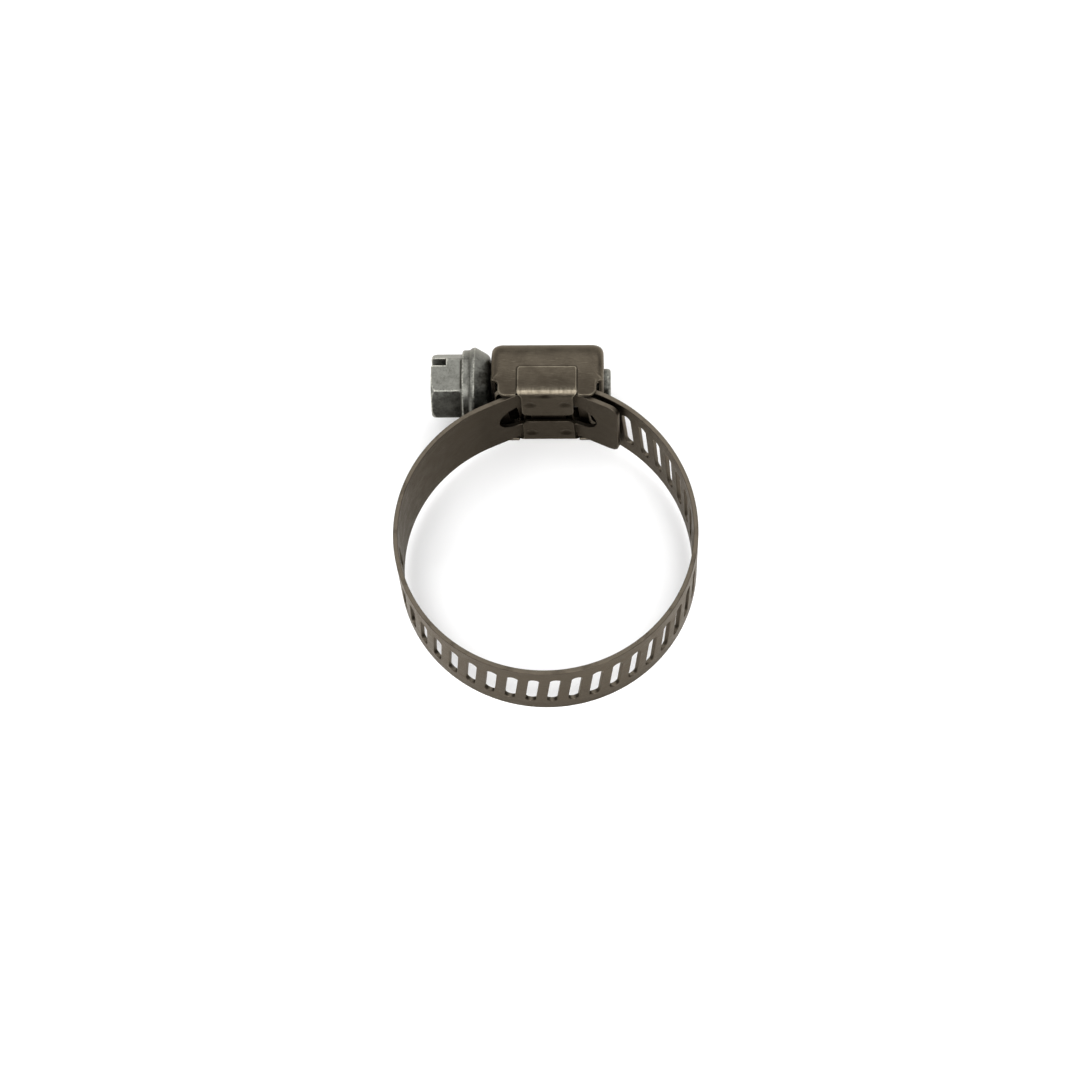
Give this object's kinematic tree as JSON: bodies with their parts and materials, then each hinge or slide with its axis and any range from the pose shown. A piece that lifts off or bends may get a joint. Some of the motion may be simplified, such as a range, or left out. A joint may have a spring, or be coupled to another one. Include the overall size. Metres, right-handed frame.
{
  "type": "hose clamp",
  "caption": "Worm-drive hose clamp: a perforated steel band closed by a slotted hexagon-head screw in a formed housing, for holding a hose on a spigot.",
  "frame": {"origin": "centre of the opened ring's bore, half way along the band's width", "axes": "+X along the screw from its head to its pilot tip, +Y from the bore to the housing, +Z along the bore"},
  "size_m": [0.0392, 0.0483, 0.0148],
  "materials": {
    "housing": "satin stainless steel, rolled",
    "band": "satin stainless steel, rolled",
    "screw": "zinc-plated carbon steel, dull"
  },
  "bodies": {
    "housing_group": {"housing": "housing", "saddle": "housing", "band_fixed_end": "band"},
    "screw": {"worm_screw": "screw"},
    "link_01": {"band_link_01": "band"},
    "link_02": {"band_link_02": "band"},
    "link_03": {"band_link_03": "band"},
    "link_04": {"band_link_04": "band"},
    "link_05": {"band_link_05": "band"},
    "link_06": {"band_link_06": "band"},
    "link_07": {"band_link_07": "band"},
    "link_08": {"band_link_08": "band"},
    "link_09": {"band_link_09": "band"},
    "link_10": {"band_link_10": "band"},
    "tail": {"band_tail": "band"},
    "link_19": {"band_link_19": "band"},
    "link_18": {"band_link_18": "band"},
    "link_17": {"band_link_17": "band"},
    "link_16": {"band_link_16": "band"},
    "link_15": {"band_link_15": "band"},
    "link_14": {"band_link_14": "band"},
    "link_13": {"band_link_13": "band"},
    "link_12": {"band_link_12": "band"},
    "link_11": {"band_link_11": "band"}
  },
  "joints": [
    {"name": "screw_turn", "type": "hinge", "parent": "housing_group", "child": "screw", "pos_m": [0, 0.02355, 0], "axis": [1, 0, 0], "range_deg": [0, 1080]},
    {"name": "bend_01", "type": "hinge", "parent": "housing_group", "child": "link_01", "pos_m": [-0.00807, 0.0172, 0], "axis": [0, 0, 1], "range_deg": [0, 2.23]},
    {"name": "bend_02", "type": "hinge", "parent": "link_01", "child": "link_02", "pos_m": [-0.01255, 0.01427, 0], "axis": [0, 0, 1], "range_deg": [0, 1.85]},
    {"name": "bend_03", "type": "hinge", "parent": "link_02", "child": "link_03", "pos_m": [-0.01603, 0.01019, 0], "axis": [0, 0, 1], "range_deg": [0, 1.44]},
    {"name": "bend_04", "type": "hinge", "parent": "link_03", "child": "link_04", "pos_m": [-0.01824, 0.00531, 0], "axis": [0, 0, 1], "range_deg": [0, 1.15]},
    {"name": "bend_05", "type": "hinge", "parent": "link_04", "child": "link_05", "pos_m": [-0.019, 0.00001, 0], "axis": [0, 0, 1], "range_deg": [0, 1.03]},
    {"name": "bend_06", "type": "hinge", "parent": "link_05", "child": "link_06", "pos_m": [-0.01825, -0.00529, 0], "axis": [0, 0, 1], "range_deg": [0, 1.04]},
    {"name": "bend_07", "type": "hinge", "parent": "link_06", "child": "link_07", "pos_m": [-0.01604, -0.01018, 0], "axis": [0, 0, 1], "range_deg": [0, 1.11]},
    {"name": "bend_08", "type": "hinge", "parent": "link_07", "child": "link_08", "pos_m": [-0.01257, -0.01425, 0], "axis": [0, 0, 1], "range_deg": [0, 1.2]},
    {"name": "bend_09", "type": "hinge", "parent": "link_08", "child": "link_09", "pos_m": [-0.00809, -0.01719, 0], "axis": [0, 0, 1], "range_deg": [0, 1.25]},
    {"name": "bend_10", "type": "hinge", "parent": "link_09", "child": "link_10", "pos_m": [-0.00297, -0.01877, 0], "axis": [0, 0, 1], "range_deg": [0, 1.22]},
    {"name": "tail_turn", "type": "hinge", "parent": "housing_group", "child": "tail", "pos_m": [0, 0.0032, 0], "axis": [0, 0, 1], "range_deg": [0, 26.67]},
    {"name": "bend_20", "type": "hinge", "parent": "tail", "child": "link_19", "pos_m": [0.00945, 0.01769, 0], "axis": [0, 0, 1], "range_deg": [-2.69, 0]},
    {"name": "bend_19", "type": "hinge", "parent": "link_19", "child": "link_18", "pos_m": [0.01354, 0.01421, 0], "axis": [0, 0, 1], "range_deg": [-2.28, 0]},
    {"name": "bend_18", "type": "hinge", "parent": "link_18", "child": "link_17", "pos_m": [0.01661, 0.00981, 0], "axis": [0, 0, 1], "range_deg": [-1.95, 0]},
    {"name": "bend_17", "type": "hinge", "parent": "link_17", "child": "link_16", "pos_m": [0.01847, 0.00477, 0], "axis": [0, 0, 1], "range_deg": [-1.43, 0]},
    {"name": "bend_16", "type": "hinge", "parent": "link_16", "child": "link_15", "pos_m": [0.01899, -0.00057, 0], "axis": [0, 0, 1], "range_deg": [-0.963, 0]},
    {"name": "bend_15", "type": "hinge", "parent": "link_15", "child": "link_14", "pos_m": [0.01808, -0.00585, 0], "axis": [0, 0, 1], "range_deg": [-0.68, 0]},
    {"name": "bend_14", "type": "hinge", "parent": "link_14", "child": "link_13", "pos_m": [0.01572, -0.01067, 0], "axis": [0, 0, 1], "range_deg": [-0.617, 0]},
    {"name": "bend_13", "type": "hinge", "parent": "link_13", "child": "link_12", "pos_m": [0.01212, -0.01463, 0], "axis": [0, 0, 1], "range_deg": [-0.721, 0]},
    {"name": "bend_12", "type": "hinge", "parent": "link_12", "child": "link_11", "pos_m": [0.00756, -0.01743, 0], "axis": [0, 0, 1], "range_deg": [-0.913, 0]}
  ],
  "couplings": [
    {"joint": "bend_01", "follows": "screw_turn", "ratio": 0.0020531},
    {"joint": "bend_02", "follows": "screw_turn", "ratio": 0.0017025},
    {"joint": "bend_03", "follows": "screw_turn", "ratio": 0.0013276},
    {"joint": "bend_04", "follows": "screw_turn", "ratio": 0.0010559},
    {"joint": "bend_05", "follows": "screw_turn", "ratio": 0.00094528},
    {"joint": "bend_06", "follows": "screw_turn", "ratio": 0.0009496},
    {"joint": "bend_07", "follows": "screw_turn", "ratio": 0.0010188},
    {"joint": "bend_08", "follows": "screw_turn", "ratio": 0.0011053},
    {"joint": "bend_09", "follows": "screw_turn", "ratio": 0.0011492},
    {"joint": "bend_10", "follows": "screw_turn", "ratio": 0.0011156},
    {"joint": "tail_turn", "follows": "screw_turn", "ratio": 0.024687},
    {"joint": "bend_20", "follows": "screw_turn", "ratio": -0.0024801},
    {"joint": "bend_19", "follows": "screw_turn", "ratio": -0.0020992},
    {"joint": "bend_18", "follows": "screw_turn", "ratio": -0.0017971},
    {"joint": "bend_17", "follows": "screw_turn", "ratio": -0.0013105},
    {"joint": "bend_16", "follows": "screw_turn", "ratio": -0.00088284},
    {"joint": "bend_15", "follows": "screw_turn", "ratio": -0.00062048},
    {"joint": "bend_14", "follows": "screw_turn", "ratio": -0.000562},
    {"joint": "bend_13", "follows": "screw_turn", "ratio": -0.00065866},
    {"joint": "bend_12", "follows": "screw_turn", "ratio": -0.00083587}
  ]
}
